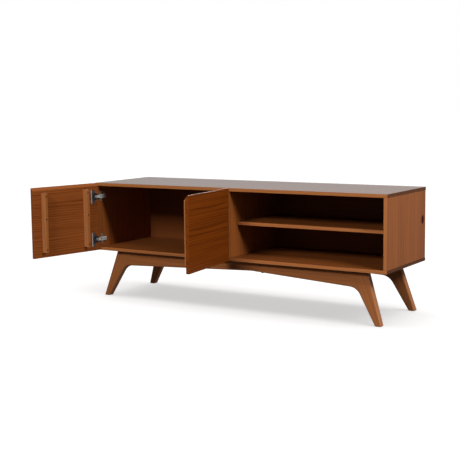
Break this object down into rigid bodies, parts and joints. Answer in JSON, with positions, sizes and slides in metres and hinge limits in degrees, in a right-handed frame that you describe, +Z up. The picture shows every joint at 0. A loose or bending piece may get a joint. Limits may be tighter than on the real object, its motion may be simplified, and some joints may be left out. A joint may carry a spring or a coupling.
{
  "type": "tv stand",
  "caption": "Low wooden TV stand with overlay doors on concealed hinges, an open bay with a shelf, and a splayed leg base with peaked rails.",
  "frame": {"origin": "on the floor, under the middle of the bounding box of the stand with both doors open as modelled; the carcass middle is 33.45 mm towards +X and 188.97 mm towards +Y from it", "axes": "+X to the right along the width as seen from the front, +Y from the front to the back, +Z up"},
  "size_m": [1.5669, 0.796, 0.544],
  "materials": {
    "back_wood": "matt stained board",
    "batten_wood": "satin clear finish over solid softwood",
    "bottom_wood": "satin clear finish over solid softwood",
    "dark_screw_steel": "black oxide",
    "divider_wood": "satin clear finish over solid softwood",
    "dowel_wood": "plain",
    "glide_plastic": "matt",
    "hinge_housing_plastic": "matt moulded",
    "hinge_nickel": "nickel plate",
    "left_door_wood": "satin clear finish over solid softwood",
    "leg_wood": "satin clear finish over solid softwood",
    "nail_steel": "plain zinc",
    "rail_wood": "satin clear finish over solid softwood",
    "right_door_wood": "satin clear finish over solid softwood",
    "screw_steel": "bright zinc",
    "shelf_wood": "satin clear finish over solid softwood",
    "side_wood": "satin clear finish over solid softwood",
    "top_wood": "satin clear finish over solid softwood"
  },
  "bodies": {
    "cabinet": {"back_panel": "back_wood", "back_panel_nails": "nail_steel", "bottom_panel": "bottom_wood", "carcass_dowels": "dowel_wood", "carcass_screws": "dark_screw_steel", "divider_panel": "divider_wood", "foot_glides": "glide_plastic", "frame_dowels": "dowel_wood", "front_left_leg": "leg_wood", "front_rail": "rail_wood", "front_right_leg": "leg_wood", "left_hinge_arm_screws": "screw_steel", "left_hinge_plate_screws": "screw_steel", "left_lower_hinge_arm": "hinge_nickel", "left_lower_hinge_plate": "hinge_nickel", "left_side_panel": "side_wood", "left_upper_hinge_arm": "hinge_nickel", "left_upper_hinge_plate": "hinge_nickel", "leg_dowels": "dowel_wood", "rail_screws": "dark_screw_steel", "rear_left_leg": "leg_wood", "rear_rail": "rail_wood", "rear_right_leg": "leg_wood", "right_hinge_arm_screws": "screw_steel", "right_hinge_plate_screws": "screw_steel", "right_lower_hinge_arm": "hinge_nickel", "right_lower_hinge_plate": "hinge_nickel", "right_side_panel": "side_wood", "right_upper_hinge_arm": "hinge_nickel", "right_upper_hinge_plate": "hinge_nickel", "shelf_board": "shelf_wood", "shelf_pins": "nail_steel", "top_panel": "top_wood"},
    "left_door": {"left_door_batten_screws": "dark_screw_steel", "left_door_free_side_batten": "batten_wood", "left_door_hinge_side_batten": "batten_wood", "left_door_panel": "left_door_wood", "left_hinge_cup_screws": "screw_steel", "left_lower_hinge_cup": "hinge_nickel", "left_lower_hinge_pin": "hinge_nickel", "left_lower_hinge_spring_housing": "hinge_housing_plastic", "left_upper_hinge_cup": "hinge_nickel", "left_upper_hinge_pin": "hinge_nickel", "left_upper_hinge_spring_housing": "hinge_housing_plastic"},
    "right_door": {"right_door_batten_screws": "dark_screw_steel", "right_door_free_side_batten": "batten_wood", "right_door_hinge_side_batten": "batten_wood", "right_door_panel": "right_door_wood", "right_hinge_cup_screws": "screw_steel", "right_lower_hinge_cup": "hinge_nickel", "right_lower_hinge_pin": "hinge_nickel", "right_lower_hinge_spring_housing": "hinge_housing_plastic", "right_upper_hinge_cup": "hinge_nickel", "right_upper_hinge_pin": "hinge_nickel", "right_upper_hinge_spring_housing": "hinge_housing_plastic"}
  },
  "joints": [
    {"name": "left_door_hinge", "type": "hinge", "parent": "cabinet", "child": "left_door", "pos_m": [-0.70755, -0.03153, 0.3765], "axis": [0, 0, 1], "range_deg": [-4, 101]},
    {"name": "right_door_hinge", "type": "hinge", "parent": "cabinet", "child": "right_door", "pos_m": [0.03195, -0.03153, 0.3765], "axis": [0, 0, 1], "range_deg": [-97, 8]}
  ]
}
